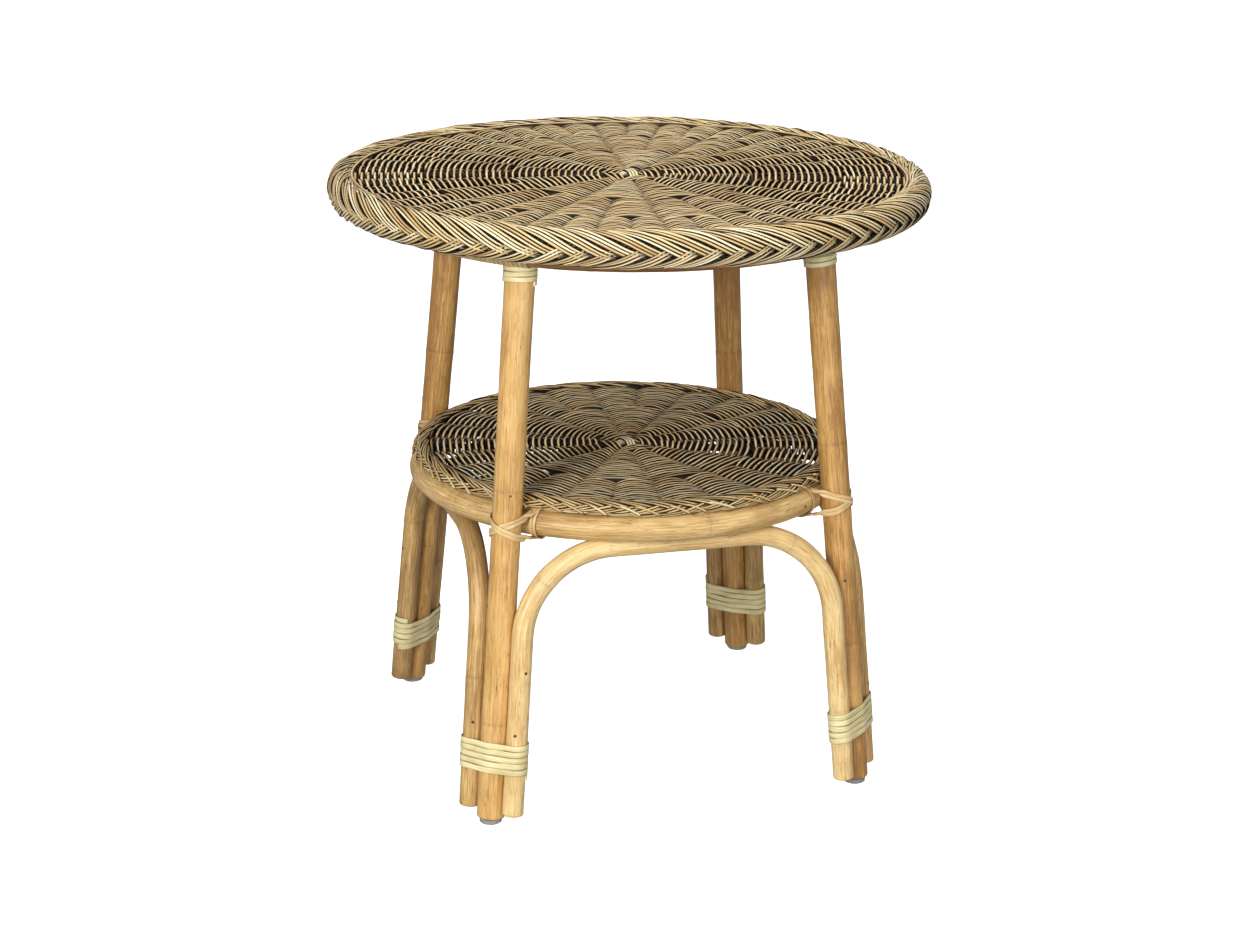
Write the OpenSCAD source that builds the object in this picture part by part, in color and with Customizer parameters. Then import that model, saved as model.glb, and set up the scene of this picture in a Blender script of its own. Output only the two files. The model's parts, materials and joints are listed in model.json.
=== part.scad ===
// Round wicker coffee table: four splayed rattan legs, four bent arch braces between them,
// a woven round top with a braided border, and a smaller woven shelf on a rattan ring.
// Flat cane binds the joints. Millimetres, +Z up, origin on the floor under the table's centre.

/* [Table] */
// Height from the floor to the top of the braided border
table_height = 603; // [590:1:620]
// Diameter over the braided border
top_diameter = 600; // [590:1:620]

/* [Legs] */
// Diameter of a leg at the floor
leg_foot_d = 27.6; // [26:0.2:28]
// Diameter of a leg at the hoop
leg_top_d = 29.6; // [28:0.2:30]
// Distance from the table's centre line to a leg's axis, on the floor
leg_foot_radius = 268.5; // [262:0.5:272]
// How far a leg leans outwards, in degrees
leg_splay = 6.14; // [5.8:0.02:6.4]
// Diameter of the plastic glide under a leg
glide_d = 22; // [18:1:26]
// Height of the plastic glide
glide_height = 5; // [4:0.5:7]

/* [Arches] */
// Diameter of an arch's pole
arch_d = 21; // [18:0.5:22]
// Bend radius of an arch's two corners, to the pole's axis
arch_bend_radius = 90; // [70:1:100]
// Height of an arch's cut ends above the floor
arch_end_height = 12; // [8:1:20]

/* [Shelf] */
// Height of the shelf ring's axis
shelf_ring_height = 295; // [270:1:320]
// Diameter of the shelf ring's pole
shelf_ring_d = 26; // [22:0.5:28]
// Width of the shelf's plaited border
shelf_border_width = 14; // [12:1:16]
// Diameter of a shelf stake
shelf_stake_d = 5.4; // [4:0.2:6]

/* [Top] */
// Diameter of the hoop's pole under the top
hoop_d = 26; // [22:0.5:28]
// Height of the top's braided border
top_border_height = 35.5; // [32:0.5:40]
// Width of the top's braided border
top_border_width = 28; // [24:1:32]
// Depth of the weave's face below the border's crest
top_weave_drop = 3.5; // [2:0.5:6]
// Diameter of a stake in the top
top_stake_d = 6.5; // [5:0.5:7]
// Thickness of the slats between the hoop and the weave
slat_thickness = 8; // [6:1:9]
// Width of a slat
slat_width = 22; // [16:1:30]

/* [Weave] */
// Diameter of the thin rods woven over and under the stakes
weaver_d = 3.4; // [3:0.1:4]
// Spokes that leave the centre of each woven disc
spokes = 12; // [12]
// Turn of the top's spokes about the centre line, in degrees
top_spoke_turn = 7; // [6:0.5:8]
// Turn of the shelf's spokes about the centre line, in degrees
shelf_spoke_turn = 10; // [9:0.5:11]

/* [Cane] */
// Width of the flat binding cane
cane_width = 5.8; // [5:0.2:6.2]
// Thickness of the flat binding cane
cane_thickness = 1.3; // [1:0.1:1.6]
// Turns of cane round a foot
base_turns = 5; // [4:1:5]
// Turns of cane round the top of a leg
top_turns = 4; // [3:1:4]

/* [Hidden] */
$fn = 48;
LEGS = 4;
leg_turn = 45;
step_turn = 360 / LEGS;

function leg_azimuth(i) = leg_turn + i * step_turn;
function arch_azimuth(i) = i * step_turn;
function leg_axis_radius(z) = leg_foot_radius - z * tan(leg_splay);
function leg_r(z) = (leg_foot_d + (leg_top_d - leg_foot_d) * z / hoop_z) / 2;
function along_leg(z) = z / cos(leg_splay);

// Top, from the border down
border_base_z = table_height - top_border_height;
top_face_z = table_height - top_weave_drop;
top_stake_z = top_face_z - weaver_d - top_stake_d / 2;
top_weave_base_z = top_face_z - 2 * weaver_d - top_stake_d;
hoop_z = top_weave_base_z - slat_thickness - hoop_d / 2;
hoop_radius = leg_axis_radius(hoop_z) + leg_r(hoop_z) / cos(leg_splay) + hoop_d / 2;
top_weave_radius = top_diameter / 2 - top_border_width;
top_border_corner = 11;

// Shelf, from its ring up
ring_radius = leg_axis_radius(shelf_ring_height) - leg_r(shelf_ring_height) / cos(leg_splay)
    - shelf_ring_d / 2;
shelf_base_z = shelf_ring_height + shelf_ring_d / 2;
shelf_stake_z = shelf_base_z + weaver_d + shelf_stake_d / 2;
shelf_face_z = shelf_base_z + 2 * weaver_d + shelf_stake_d;
shelf_weave_radius = ring_radius - shelf_border_width / 2;
shelf_border_rise = 1.5;
shelf_border_corner = 5;

// Zones of a woven disc: each spoke opens into two stakes, and each of those into two more
slath_reach = 22;
slath_sticks = [-1, 0, 1];
slath_gap = 0.4;
first_split_radius = 120;
second_split_radius = 205;
stake_gap = 4;

// Arch geometry, in the leaning plane of the arch
arch_offset = leg_r(arch_bend_radius * 2) + arch_d / 2;
arch_tilt = atan(tan(leg_splay) / sqrt(2));
arch_lean = atan(sin(arch_tilt));
arch_rise = 1.5;
arch_top_z = shelf_ring_height - (shelf_ring_d + arch_d) / 2 + arch_rise;
arch_foot_x = (leg_foot_radius + arch_offset) / sqrt(2);
arch_foot_u = (leg_foot_radius - arch_offset) / sqrt(2);
arch_top_v = arch_top_z / cos(arch_tilt);
bend_v = arch_top_v - arch_bend_radius;
bend_u = arch_foot_u - bend_v * tan(arch_lean) - arch_bend_radius / cos(arch_lean);
bend_angle = 90 - arch_lean;
arch_nail_u = 80;
bend_swell = 0.1;
bend_overlap = 0.5;
arch_top_x = arch_foot_x - arch_top_z * tan(arch_tilt);

// Slats
slat_offsets = [-110, 0, 110];
slat_overhang = 10;

// Cane work
base_binding_z = 50;
base_binding_pitch = 7;
top_binding_z = 527;
top_binding_pitch = 5.2;
top_cane_width = 4.8;
lashing_tilt = 16;
lashing_side = 19;
wrap_thickness = 2.2;
wrap_start = -165;
wrap_span = 36;

// Fasteners
screw_d = 4;
screw_head_d = 8;
screw_head_h = 3;
nail_d = 2.4;
nail_head_d = 4.4;
nail_head_h = 1;
pin_d = 1.8;
pin_head_d = 3.4;
hoop_screw_length = 46;
ring_screw_length = 44;
foot_nail_z = 92;
foot_nail_stagger = 8;
arch_nail_length = 38;
slat_nail_length = 24;
tack_length = 16;
tack_turn = 9;
pin_grip = 2.8;
glide_nail_length = 20;
glide_nail_z = 2;
pins = 12;
head_recess = 4;

// ---- Placing ----

// Local frame of leg i: origin on its axis at the floor, +Z up the leg, +X outwards.
module on_leg(i) {
    rotate([0, 0, leg_azimuth(i)])
        translate([leg_foot_radius, 0, 0])
            rotate([0, -leg_splay, 0])
                children();
}

// Local frame of arch i: X along the arch, Y up its leaning plane, Z outwards.
module in_arch_plane(i) {
    rotate([0, 0, arch_azimuth(i)])
        translate([arch_foot_x, 0, 0])
            rotate([0, -arch_tilt, 0])
                rotate([90, 0, 90])
                    children();
}

// Radial position at height z, with +Z of the child pointing to the centre line.
module facing_in(azimuth, radius, z) {
    rotate([0, 0, azimuth])
        translate([radius, 0, z])
            rotate([0, -90, 0])
                children();
}

// ---- Shapes used for both a fastener and the hole it fills ----

// A shank along +Z under a flat head whose outer face is at Z = 0. As a hole, the head's
// recess goes on outwards, so that no skin of wood is left over it.
module fastener(length, shank_d, head_d, head_h, recess) {
    cylinder(h = length, d = shank_d);
    translate([0, 0, -recess])
        cylinder(h = head_h + recess, d = head_d);
}

module nail(length, recess) {
    fastener(length, nail_d, nail_head_d, nail_head_h, recess);
}

module pin(length, recess) {
    fastener(length, pin_d, pin_head_d, nail_head_h, recess);
}

module screw(length, recess) {
    fastener(length, screw_d, screw_head_d, screw_head_h, recess);
}

module all_hoop_screws(recess = 0) {
    for (i = [0 : LEGS - 1])
        facing_in(leg_azimuth(i), hoop_radius + hoop_d / 2 - 1, hoop_z)
            screw(hoop_screw_length, recess);
}

module all_ring_screws(recess = 0) {
    start = leg_axis_radius(shelf_ring_height) + leg_r(shelf_ring_height) - 1;
    for (i = [0 : LEGS - 1])
        facing_in(leg_azimuth(i), start, shelf_ring_height)
            screw(ring_screw_length, recess);
}

// Two nails a foot, driven through the arch ends into the leg at different heights.
module all_foot_nails(recess = 0) {
    reach = arch_offset + arch_d / 2 - nail_head_h / 2;
    for (i = [0 : LEGS - 1])
        for (side = [-1, 1])
            on_leg(i)
                translate([0, side * reach, foot_nail_z + side * foot_nail_stagger / 2])
                    rotate([side * 90, 0, 0])
                        nail(reach - 1, recess);
}

module all_arch_nails(recess = 0) {
    for (i = [0 : LEGS - 1])
        for (side = [-1, 1])
            rotate([0, 0, arch_azimuth(i)])
                translate([arch_top_x, side * arch_nail_u, arch_top_z - arch_d / 2])
                    nail(arch_nail_length, recess);
}

module all_slat_nails(recess = 0) {
    for (y = slat_offsets)
        for (side = [-1, 1])
            translate([side * sqrt(pow(hoop_radius, 2) - y * y), y, top_weave_base_z])
                mirror([0, 0, 1])
                    nail(slat_nail_length, recess);
}

module all_lashing_tacks(recess = 0) {
    for (i = [0 : LEGS - 1])
        facing_in(leg_azimuth(i) - tack_turn, ring_radius + shelf_ring_d / 2, shelf_ring_height)
            pin(tack_length, recess);
}

// A ring of pins driven up through a pole, between the stakes of the woven disc above it.
module pin_ring(turn, radius, z, length, recess) {
    for (i = [0 : pins - 1])
        rotate([0, 0, turn + (i + 0.5) * 360 / pins])
            translate([radius, 0, z])
                pin(length, recess);
}

module all_top_pins(recess = 0) {
    pin_ring(top_spoke_turn, hoop_radius, hoop_z - hoop_d / 2,
        hoop_d + slat_thickness + pin_grip, recess);
}

module all_shelf_pins(recess = 0) {
    pin_ring(shelf_spoke_turn, ring_radius, shelf_ring_height - shelf_ring_d / 2,
        shelf_ring_d + pin_grip, recess);
}

module all_glide_nails(recess = 0) {
    for (i = [0 : LEGS - 1])
        rotate([0, 0, leg_azimuth(i)])
            translate([leg_axis_radius(glide_height), 0, glide_nail_z])
                nail(glide_nail_length, recess);
}

// ---- Rattan poles ----

module leg_shape(i) {
    intersection() {
        on_leg(i)
            cylinder(h = along_leg(hoop_z), d1 = leg_foot_d, d2 = leg_top_d);
        translate([0, 0, glide_height])
            cylinder(h = hoop_z - glide_height - 1, r = top_diameter);
    }
    on_leg(i)
        translate([0, 0, along_leg(hoop_z) - hoop_d / 2])
            cylinder(h = hoop_d - 1, d = leg_top_d);
}

module leg(i) {
    color("burlywood")
        difference() {
            leg_shape(i);
            all_hoop_screws(head_recess);
            all_ring_screws(head_recess);
            all_foot_nails(head_recess);
            all_glide_nails();
        }
}

// The bend is a hair thicker than the straight poles that run into it, so all three fuse.
module half_arch() {
    end_v = arch_end_height / cos(arch_tilt);
    end_u = arch_foot_u - end_v * tan(arch_lean);
    side_length = (bend_v + arch_bend_radius * sin(arch_lean) - end_v) / cos(arch_lean);
    translate([end_u, end_v, 0])
        rotate([-90, 0, arch_lean])
            cylinder(h = side_length + bend_overlap, d = arch_d);
    translate([bend_u, bend_v, 0])
        rotate([0, 0, arch_lean])
            rotate_extrude(angle = bend_angle)
                translate([arch_bend_radius, 0])
                    circle(d = arch_d + bend_swell);
    translate([0, arch_top_v, 0])
        rotate([0, 90, 0])
            cylinder(h = bend_u + bend_overlap, d = arch_d);
}

module arch(i) {
    color("tan")
        difference() {
            in_arch_plane(i)
                for (side = [0, 1])
                    mirror([side, 0, 0])
                        half_arch();
            all_foot_nails(head_recess);
            all_arch_nails(head_recess);
        }
}

module pole_ring(radius, pole_d, z) {
    translate([0, 0, z])
        rotate_extrude()
            translate([radius, 0])
                circle(d = pole_d);
}

module shelf_ring() {
    color("burlywood")
        difference() {
            pole_ring(ring_radius, shelf_ring_d, shelf_ring_height);
            all_ring_screws(head_recess);
            all_arch_nails(head_recess);
            all_lashing_tacks(head_recess);
            all_shelf_pins(head_recess);
        }
}

module top_hoop() {
    color("peru")
        difference() {
            pole_ring(hoop_radius, hoop_d, hoop_z);
            all_hoop_screws(head_recess);
            all_slat_nails(head_recess);
            all_top_pins(head_recess);
        }
}

// ---- Slats ----

module slat(y) {
    reach = sqrt(pow(hoop_radius, 2) - y * y) + slat_overhang;
    color("tan")
        difference() {
            translate([-reach, y - slat_width / 2, top_weave_base_z - slat_thickness])
                cube([2 * reach, slat_width, slat_thickness]);
            all_slat_nails(head_recess);
        }
}

// ---- Woven discs ----

// A bored disc of weavers, one weaver thick, standing for a layer above or below the stakes.
module weaver_layer(radius, z) {
    translate([0, 0, z])
        difference() {
            cylinder(h = weaver_d, r = radius);
            translate([0, 0, -1])
                cylinder(h = weaver_d + 2, r = slath_reach / 2);
        }
}

module weave(radius, base_z, stake_d) {
    weaver_layer(radius, base_z);
    weaver_layer(radius, base_z + weaver_d + stake_d);
}

// Stakes from one radius to the next, evenly spaced round the disc.
module stake_fan(count, turn, stake_d, inner, outer) {
    for (i = [0 : count - 1])
        rotate([0, 0, turn + (i + 0.5) * 360 / count])
            translate([inner, 0, 0])
                rotate([0, 90, 0])
                    cylinder(h = outer - inner, d = stake_d);
}

// Three sticks through three, tied as a cross at the middle of a woven disc.
module slath(stake_d, turn) {
    for (arm = [0, 90])
        rotate([0, 0, turn + arm])
            for (k = slath_sticks)
                translate([-slath_reach, k * (stake_d + slath_gap), 0])
                    rotate([0, 90, 0])
                        cylinder(h = 2 * slath_reach, d = stake_d);
}

// Spokes out from the slath, doubled at the first split and, where a third fan fits, again.
module stakes(stake_d, z, turn, splits, radius) {
    half_step = 180 / spokes;
    translate([0, 0, z]) {
        slath(stake_d, turn);
        for (i = [0 : len(splits)]) {
            inner = i == 0 ? slath_reach + stake_gap : splits[i - 1] + stake_gap;
            outer = i == len(splits) ? radius : splits[i];
            fan_turn = i == 0 ? turn + half_step : turn;
            stake_fan(spokes * pow(2, i), fan_turn, stake_d, inner, outer);
        }
    }
}

// A ring with a rounded section, standing for a plaited border.
module border_ring(inner, width, height, corner, z) {
    translate([0, 0, z])
        rotate_extrude()
            translate([inner, 0]) {
                translate([corner, 0])
                    square([width - 2 * corner, height]);
                translate([0, corner])
                    square([width, height - 2 * corner]);
                for (x = [corner, width - corner])
                    for (y = [corner, height - corner])
                        translate([x, y])
                            circle(r = corner);
            }
}

module top_stakes() {
    color("sienna")
        stakes(top_stake_d, top_stake_z, top_spoke_turn,
            [first_split_radius, second_split_radius], top_weave_radius);
}

module top_weave() {
    color("wheat")
        difference() {
            weave(top_weave_radius, top_weave_base_z, top_stake_d);
            all_top_pins(head_recess);
        }
}

module top_border() {
    color("wheat")
        border_ring(top_weave_radius, top_border_width, top_border_height, top_border_corner,
            border_base_z);
}

module shelf_stakes() {
    color("sienna")
        stakes(shelf_stake_d, shelf_stake_z, shelf_spoke_turn, [first_split_radius],
            shelf_weave_radius);
}

module shelf_weave() {
    color("rosybrown")
        weave(shelf_weave_radius, shelf_base_z, shelf_stake_d);
}

module shelf_border() {
    color("rosybrown")
        difference() {
            border_ring(shelf_weave_radius, shelf_border_width,
                shelf_face_z - shelf_base_z + shelf_border_rise, shelf_border_corner,
                shelf_base_z);
            all_shelf_pins(head_recess);
        }
}

// ---- Cane bindings ----

function arc_points(centre, r, from, to) =
    [for (a = [from : (to - from) / 8 : to]) centre + r * [cos(a), sin(a)]];

// Tight outline round a leg with an arch end on each side, grown by a distance.
function trio_outline(mid_r, grow) =
    let (side = asin((mid_r - arch_d / 2) / arch_offset), end_r = arch_d / 2 + grow)
    concat(
        arc_points([0, arch_offset], end_r, side, 180 - side),
        arc_points([0, 0], mid_r + grow, 180 - side, 180 + side),
        arc_points([0, -arch_offset], end_r, 180 + side, 360 - side),
        arc_points([0, 0], mid_r + grow, 360 - side, 360 + side)
    );

module base_binding(i) {
    mid_r = leg_r(base_binding_z + base_turns * base_binding_pitch);
    color("cornsilk")
        on_leg(i)
            for (k = [0 : base_turns - 1])
                translate([0, 0, base_binding_z + k * base_binding_pitch])
                    linear_extrude(cane_width)
                        difference() {
                            polygon(trio_outline(mid_r, cane_thickness));
                            polygon(trio_outline(mid_r, 0));
                        }
}

// Two straps round the ring beside the leg, and two crossed strips over the leg's outside.
module shelf_lashing(i) {
    across = leg_r(shelf_ring_height) + cane_thickness;
    strap_turn = asin(lashing_side / ring_radius);
    color("cornsilk")
        difference() {
            union() {
                for (side = [-1, 1])
                    rotate([0, 0, leg_azimuth(i) + side * strap_turn])
                        translate([ring_radius, 0, shelf_ring_height])
                            rotate([90, 0, 0])
                                cylinder(h = cane_width, d = shelf_ring_d + 2 * cane_thickness,
                                    center = true);
                on_leg(i)
                    translate([0, 0, along_leg(shelf_ring_height)])
                        for (side = [-1, 1])
                            rotate([side * lashing_tilt, 0, 0])
                                intersection() {
                                    cylinder(h = cane_width, r = across, center = true);
                                    translate([0, -across, -cane_width])
                                        cube([across, 2 * across, 2 * cane_width]);
                                }
            }
            leg_shape(i);
            pole_ring(ring_radius, shelf_ring_d, shelf_ring_height);
            all_ring_screws(head_recess);
            all_lashing_tacks(head_recess);
        }
}

module top_binding(i) {
    color("cornsilk")
        difference() {
            on_leg(i)
                for (k = [0 : top_turns - 1])
                    translate([0, 0, along_leg(top_binding_z) + k * top_binding_pitch])
                        cylinder(h = top_cane_width, d = leg_top_d + 2 * cane_thickness);
            leg_shape(i);
        }
}

// Cane wound over the scarf joint where the hoop's two ends meet.
module hoop_wrap() {
    color("cornsilk")
        difference() {
            rotate([0, 0, wrap_start])
                translate([0, 0, hoop_z])
                    rotate_extrude(angle = wrap_span)
                        translate([hoop_radius, 0])
                            circle(d = hoop_d + 2 * wrap_thickness);
            pole_ring(hoop_radius, hoop_d, hoop_z);
            leg_shape(2);
            slat(slat_offsets[0]);
            all_hoop_screws(head_recess);
            all_top_pins(head_recess);
        }
}

// ---- Glides ----

module glide(i) {
    chamfer = 1;
    color("gray")
        difference() {
            rotate([0, 0, leg_azimuth(i)])
                translate([leg_axis_radius(glide_height), 0, 0]) {
                    cylinder(h = chamfer, d1 = glide_d - 2 * chamfer, d2 = glide_d);
                    translate([0, 0, chamfer])
                        cylinder(h = glide_height - chamfer, d = glide_d);
                }
            all_glide_nails();
        }
}

// ---- Fasteners ----

module hoop_screws() {
    color("silver") all_hoop_screws();
}

module ring_screws() {
    color("silver") all_ring_screws();
}

module foot_nails() {
    color("dimgray") all_foot_nails();
}

module arch_nails() {
    color("dimgray") all_arch_nails();
}

module slat_nails() {
    color("dimgray") all_slat_nails();
}

module lashing_tacks() {
    color("dimgray") all_lashing_tacks();
}

module top_pins() {
    color("dimgray") all_top_pins();
}

module shelf_pins() {
    color("dimgray") all_shelf_pins();
}

module glide_nails() {
    color("silver") all_glide_nails();
}

leg(0);  // leg_1
leg(1);  // leg_2
leg(2);  // leg_3
leg(3);  // leg_4
arch(0);  // arch_1
arch(1);  // arch_2
arch(2);  // arch_3
arch(3);  // arch_4
glide(0);  // glide_1
glide(1);  // glide_2
glide(2);  // glide_3
glide(3);  // glide_4
base_binding(0);  // base_binding_1
base_binding(1);  // base_binding_2
base_binding(2);  // base_binding_3
base_binding(3);  // base_binding_4
shelf_lashing(0);  // shelf_lashing_1
shelf_lashing(1);  // shelf_lashing_2
shelf_lashing(2);  // shelf_lashing_3
shelf_lashing(3);  // shelf_lashing_4
top_binding(0);  // top_binding_1
top_binding(1);  // top_binding_2
top_binding(2);  // top_binding_3
top_binding(3);  // top_binding_4
shelf_ring();
shelf_stakes();
shelf_weave();
shelf_border();
top_hoop();
hoop_wrap();
slat(slat_offsets[0]);  // top_slat_1
slat(slat_offsets[1]);  // top_slat_2
slat(slat_offsets[2]);  // top_slat_3
top_stakes();
top_weave();
top_border();
hoop_screws();
ring_screws();
foot_nails();
arch_nails();
slat_nails();
lashing_tacks();
top_pins();
shelf_pins();
glide_nails();
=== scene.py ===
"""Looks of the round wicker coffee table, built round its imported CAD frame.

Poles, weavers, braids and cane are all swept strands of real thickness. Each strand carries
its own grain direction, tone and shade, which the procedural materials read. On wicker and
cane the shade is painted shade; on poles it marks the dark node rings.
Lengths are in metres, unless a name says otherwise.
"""

import json
import math

import bpy
import numpy as np
from mathutils import Matrix, Vector

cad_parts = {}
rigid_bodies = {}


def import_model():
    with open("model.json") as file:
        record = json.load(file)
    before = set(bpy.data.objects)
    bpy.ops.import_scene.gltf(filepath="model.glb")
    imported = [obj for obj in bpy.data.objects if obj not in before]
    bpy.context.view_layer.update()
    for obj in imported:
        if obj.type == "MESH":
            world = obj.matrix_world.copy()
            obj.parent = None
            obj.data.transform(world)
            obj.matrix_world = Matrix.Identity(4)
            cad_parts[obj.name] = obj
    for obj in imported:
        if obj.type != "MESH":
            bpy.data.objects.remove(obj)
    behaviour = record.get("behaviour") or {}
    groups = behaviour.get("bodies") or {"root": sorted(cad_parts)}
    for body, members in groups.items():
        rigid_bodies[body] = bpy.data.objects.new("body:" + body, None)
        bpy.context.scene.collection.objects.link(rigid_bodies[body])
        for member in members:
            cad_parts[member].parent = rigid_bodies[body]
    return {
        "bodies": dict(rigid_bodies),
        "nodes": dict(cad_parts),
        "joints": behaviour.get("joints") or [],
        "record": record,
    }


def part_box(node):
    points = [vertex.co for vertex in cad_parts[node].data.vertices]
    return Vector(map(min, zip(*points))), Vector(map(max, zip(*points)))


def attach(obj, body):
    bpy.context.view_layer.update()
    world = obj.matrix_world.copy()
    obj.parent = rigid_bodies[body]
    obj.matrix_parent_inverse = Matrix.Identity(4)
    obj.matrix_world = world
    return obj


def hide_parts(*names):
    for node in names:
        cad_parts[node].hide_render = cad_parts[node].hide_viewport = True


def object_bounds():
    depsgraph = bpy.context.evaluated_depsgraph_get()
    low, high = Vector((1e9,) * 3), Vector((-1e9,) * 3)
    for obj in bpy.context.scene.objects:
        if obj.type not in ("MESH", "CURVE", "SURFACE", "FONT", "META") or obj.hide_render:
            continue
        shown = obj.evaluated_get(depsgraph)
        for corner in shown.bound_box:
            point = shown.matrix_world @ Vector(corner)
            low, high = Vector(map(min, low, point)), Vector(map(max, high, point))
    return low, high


TAU = 2 * math.pi

# ---- Driving dimensions: what the CAD boxes don't give ----

LEGS = 4
LEG_SPLAY = math.radians(6.14)
LEG_FOOT_D = 0.0276
LEG_TOP_D = 0.0296
ARCH_D = 0.021
ARCH_BEND_RADIUS = 0.090
ARCH_END_HEIGHT = 0.012

WEAVER_D = 0.0033
BRAID_ROD_D = 0.0031
ROW_PITCH = 0.00325
WEAVE_LIFT = 0.0038
STICK_D = 0.0040
STICK_PITCH = 0.0022
SLATH_RADIUS = 0.010
FIRST_SPLIT = 0.120
SECOND_SPLIT = 0.205
SPLIT_REACH = 0.034
SHELF_SPLIT = 0.125
SHELF_UNDER_ROWS = (0.119, 0.150)
SPOKES = 12
SPOKES_START = 0.027
TOP_TURN = math.radians(7)
SHELF_TURN = math.radians(10)

# Each plait is (bundles, chevrons round the rim, rods in a bundle).
TOP_PLAIT = (16, 77, 3)
TOP_PLAIT_FACING = math.radians(4)
TOP_PLAIT_SWING = 0.0235
BORDER_HALF_WIDTH = 0.01455
SHELF_PLAIT = (10, 60, 2)
SHELF_PLAIT_FACING = math.radians(42)
SHELF_PLAIT_SWING = 0.0070
SHELF_TIPS = 56
BRAID_SAMPLES = 60
CROSSING_SKEW = 0.18
CROSSING_STEEPNESS = 3.5

CANE_WIDTH = 0.0061
CANE_THICKNESS = 0.0014
BASE_BINDING_Z = 0.0520
BASE_BINDING_PITCH = 0.0062
BASE_TURNS = 5
TOP_BINDING_Z = 0.5325
TOP_BINDING_PITCH = 0.0052
TOP_CANE_WIDTH = 0.0050
TOP_TURNS = 4
LASHING_CANE_WIDTH = 0.0040
STRAP_ROLLS = (math.radians(65), math.radians(655))
HOOP_CANE_WIDTH = 0.0046
WRAP_START = math.radians(-165)
WRAP_SPAN = math.radians(36)
WRAP_TURNS = 31

ROD_SIDES = 10
POLE_SIDES = 40
POLE_STEP = 0.0015
NODE_SPACING = 0.21
# Painted light: each leg and arch pole has its own tone, set lighter or darker for the light and
# shade that falls on it.
LEG_LIGHTING_TONES = (0.15, 0.15, 0.55, 0.22)
ARCH_LIGHTING_TONES = (0.30, 0.20, 0.20, 0.75)
# Painted shade colour along the edges of cane strips, where they meet.
CANE_EDGE_SHADE = (84, 56, 28)

# Nail heads of each leg: which pole (an arch end at -1 or 1, the leg at 0), degrees round it
# from straight outwards, and height.
NAIL_SPOTS = ((-1, 25, 0.096), (1, 20, 0.096), (1, 60, 0.162), (0, -50, 0.219), (0, 40, 0.330))
NAIL_LEG_HEIGHT = 0.2

EYE = (-0.7207, -2.4807, 1.1121)
EYE_TURN = math.radians(-16.2)
EYE_PITCH = 0.309
EYE_ROLL = 0.011
SENSOR_WIDTH = 36.0
FOCAL_LENGTH = 75.59
FLOOR_HALF = 6.0
FLOOR_GLOW = 0.9
WORLD_STRENGTH = 0.34
LIGHTS_AIM = Vector((0, 0, 0.35))


# ---- Small mathematics ----


def unit(vectors):
    """Vectors scaled to length 1."""
    return vectors / np.maximum(np.linalg.norm(vectors, axis=-1, keepdims=True), 1e-12)


def smoothstep(x, low, high):
    """0 below low, 1 above high, and a smooth rise between them."""
    t = np.clip((x - low) / (high - low), 0, 1)
    return t * t * (3 - 2 * t)


def polar(radius, azimuth, z):
    """Points at these cylindrical coordinates about the table's centre line."""
    radius, azimuth, z = np.broadcast_arrays(radius, azimuth, z)
    return np.stack([radius * np.cos(azimuth), radius * np.sin(azimuth), z], -1)


def distance_along(path):
    """Distance from the path's start to each of its points."""
    steps = np.linalg.norm(np.diff(path, axis=0), axis=1)
    return np.concatenate([[0], np.cumsum(steps)])


def ripple(rng, along, wavelength):
    """A smooth random curve of about unit size along a strand."""
    total = np.zeros_like(along)
    for stretch in (0.6, 1.0, 1.7):
        phase = rng.uniform(0, TAU)
        total += rng.uniform(0.3, 0.7) * np.sin(TAU * along / (wavelength * stretch) + phase)
    return total


def spline(points, step):
    """A smooth curve through the points (Catmull-Rom), sampled about every step."""
    points = np.asarray(points, float)
    padded = np.concatenate([[2 * points[0] - points[1]], points, [2 * points[-1] - points[-2]]])
    pieces = []
    for i in range(len(points) - 1):
        a, b, c, d = padded[i : i + 4]
        count = max(2, int(np.linalg.norm((c - b)[:3]) / step))
        t = np.linspace(0, 1, count, endpoint=False)[:, None]
        pieces.append(
            0.5
            * (2 * b + (c - a) * t + (2 * a - 5 * b + 4 * c - d) * t**2)
            + 0.5 * (3 * b - a - 3 * c + d) * t**3
        )
    pieces.append(points[-1:])
    return np.concatenate(pieces)


# ---- Strands: sections swept along centrelines, gathered into one mesh ----


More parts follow.
